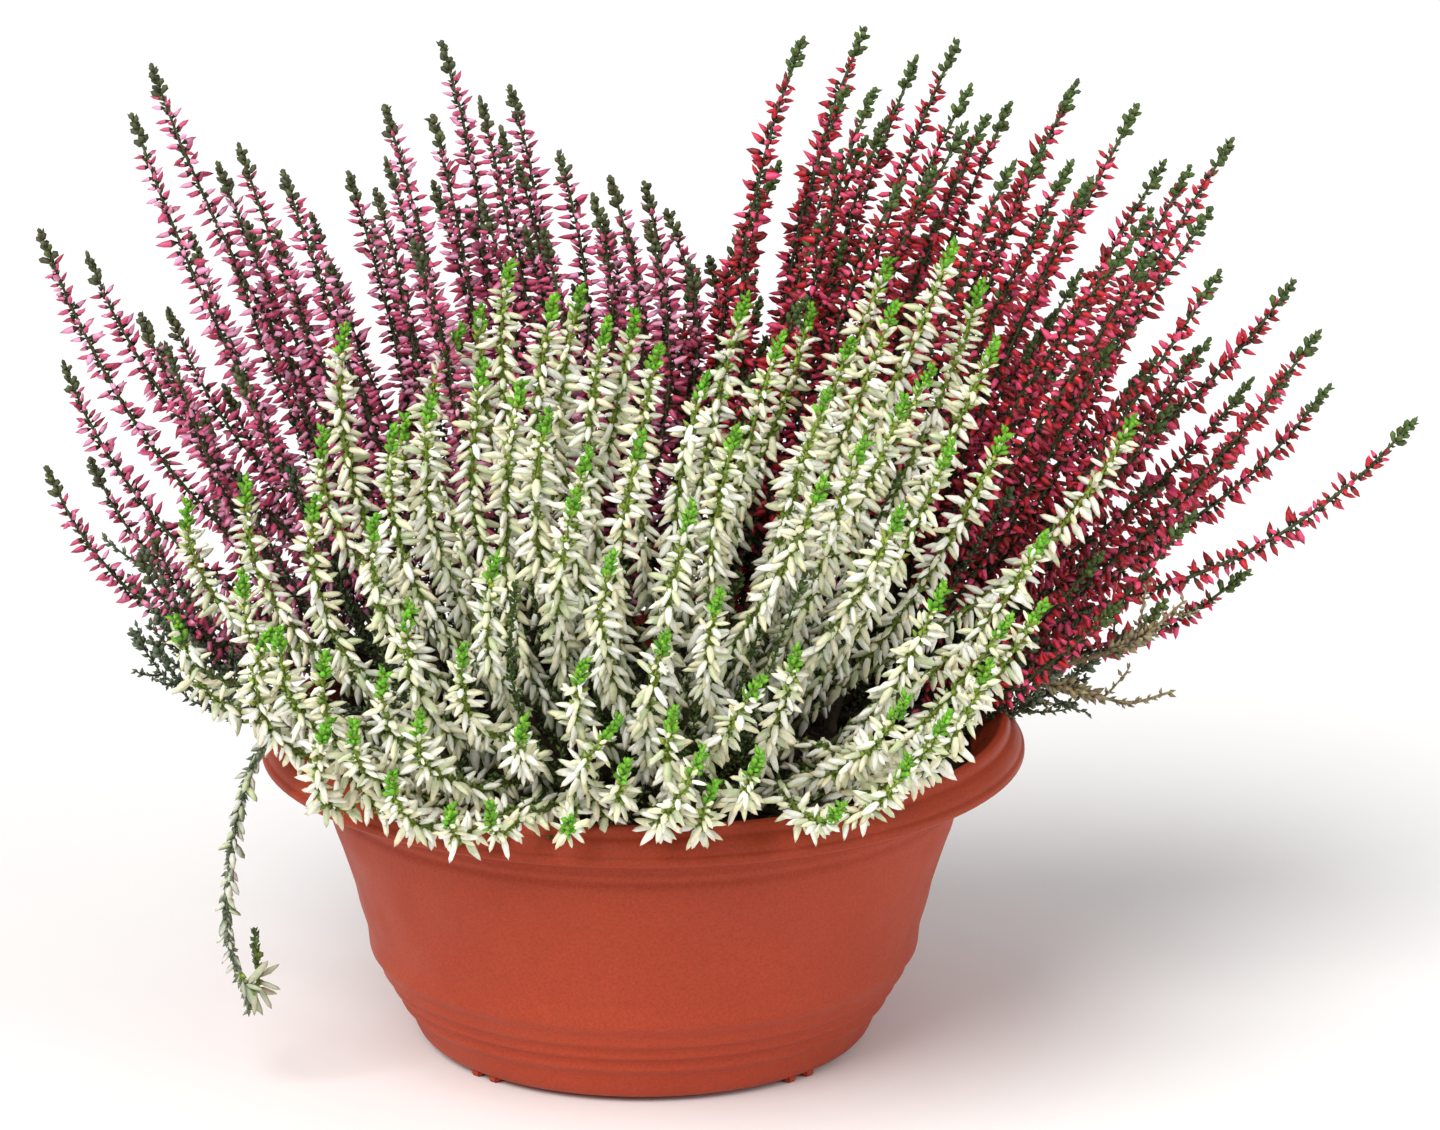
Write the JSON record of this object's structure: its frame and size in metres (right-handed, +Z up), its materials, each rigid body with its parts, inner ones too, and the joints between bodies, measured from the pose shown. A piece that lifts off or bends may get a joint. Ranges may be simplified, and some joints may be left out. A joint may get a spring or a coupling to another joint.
{
  "type": "potted heather",
  "caption": "Planter bowl of white, pink and red heather: sprays of upright flowering shoots that stand in dark soil, with an old shoot over the rim.",
  "frame": {"origin": "centre of the bowl's flat underside, on the plane that it stands on", "axes": "+Z up; -Y towards the front, where the white heather grows; +X to the right seen from the front"},
  "size_m": [0.41, 0.2764, 0.2982],
  "materials": {
    "pot": "satin",
    "soil": "matte",
    "white_heather": "matte",
    "pink_heather": "matte",
    "red_heather": "matte",
    "old_shoot": "matte",
    "dry_wood": "matte"
  },
  "bodies": {
    "root": {"dry_twigs": "dry_wood", "old_shoot": "old_shoot", "pink_spray_01": "pink_heather", "pink_spray_02": "pink_heather", "pink_spray_03": "pink_heather", "pink_spray_04": "pink_heather", "pink_spray_05": "pink_heather", "pink_spray_06": "pink_heather", "pink_spray_07": "pink_heather", "pink_spray_08": "pink_heather", "pink_spray_09": "pink_heather", "pink_spray_10": "pink_heather", "pink_spray_11": "pink_heather", "pink_spray_12": "pink_heather", "pot": "pot", "red_spray_01": "red_heather", "red_spray_02": "red_heather", "red_spray_03": "red_heather", "red_spray_04": "red_heather", "red_spray_05": "red_heather", "red_spray_06": "red_heather", "red_spray_07": "red_heather", "red_spray_08": "red_heather", "red_spray_09": "red_heather", "red_spray_10": "red_heather", "red_spray_11": "red_heather", "red_spray_12": "red_heather", "red_spray_13": "red_heather", "soil": "soil", "white_spray_01": "white_heather", "white_spray_02": "white_heather", "white_spray_03": "white_heather", "white_spray_04": "white_heather", "white_spray_05": "white_heather", "white_spray_06": "white_heather", "white_spray_07": "white_heather", "white_spray_08": "white_heather", "white_spray_09": "white_heather", "white_spray_10": "white_heather", "white_spray_11": "white_heather", "white_spray_12": "white_heather", "white_spray_13": "white_heather", "white_spray_14": "white_heather", "white_spray_15": "white_heather", "white_spray_16": "white_heather", "white_spray_17": "white_heather", "white_spray_18": "white_heather", "white_spray_19": "white_heather"}
  },
  "joints": []
}
